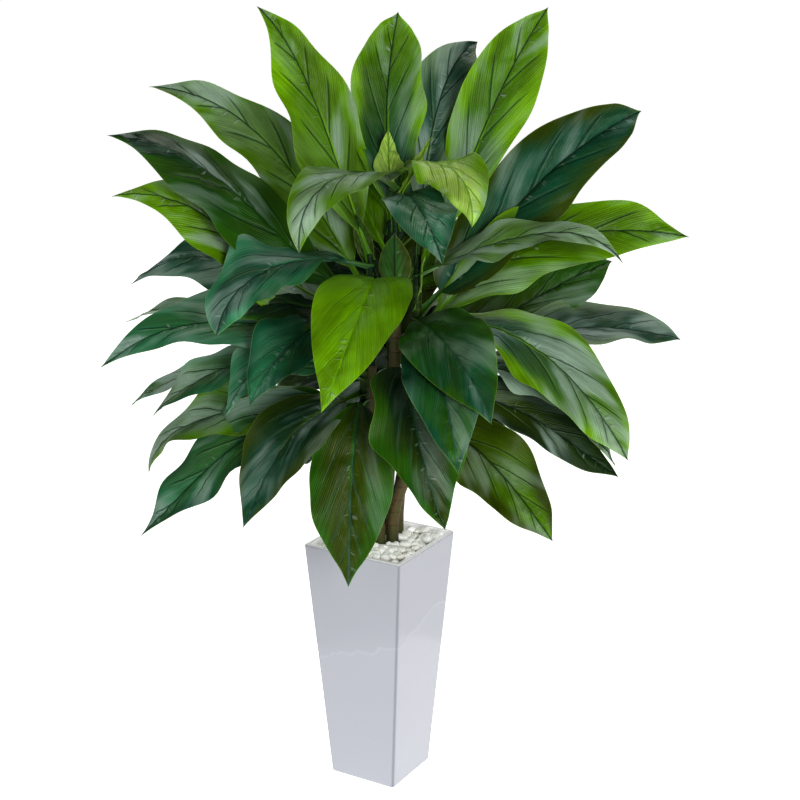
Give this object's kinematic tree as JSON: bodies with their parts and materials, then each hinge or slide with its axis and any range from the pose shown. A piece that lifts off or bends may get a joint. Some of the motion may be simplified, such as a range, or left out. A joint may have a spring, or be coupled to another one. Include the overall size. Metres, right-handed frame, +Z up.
{
  "type": "potted cordyline",
  "caption": "Leafy cordyline on slender upright canes in a tall square tapered glazed pot topped with white pebbles.",
  "frame": {"origin": "centre of the pot's flat base, on the surface it stands on", "axes": "+Z up along the pot's axis; +X and +Y square to the pot's walls"},
  "size_m": [0.7169, 0.6251, 1.0901],
  "materials": {
    "pot_glaze": "gloss",
    "soil": "matte",
    "pebbles": "satin",
    "cane": "matte",
    "leaf": "satin"
  },
  "bodies": {
    "root": {"pot": "pot_glaze", "soil": "soil", "pebbles": "pebbles", "crown_cane": "cane", "left_cane": "cane", "right_cane": "cane", "low_left_cane": "cane", "low_right_cane": "cane", "back_cane": "cane", "crown_leaves": "leaf", "left_leaves": "leaf", "right_leaves": "leaf", "low_left_leaves": "leaf", "low_right_leaves": "leaf", "back_leaves": "leaf"}
  },
  "joints": []
}
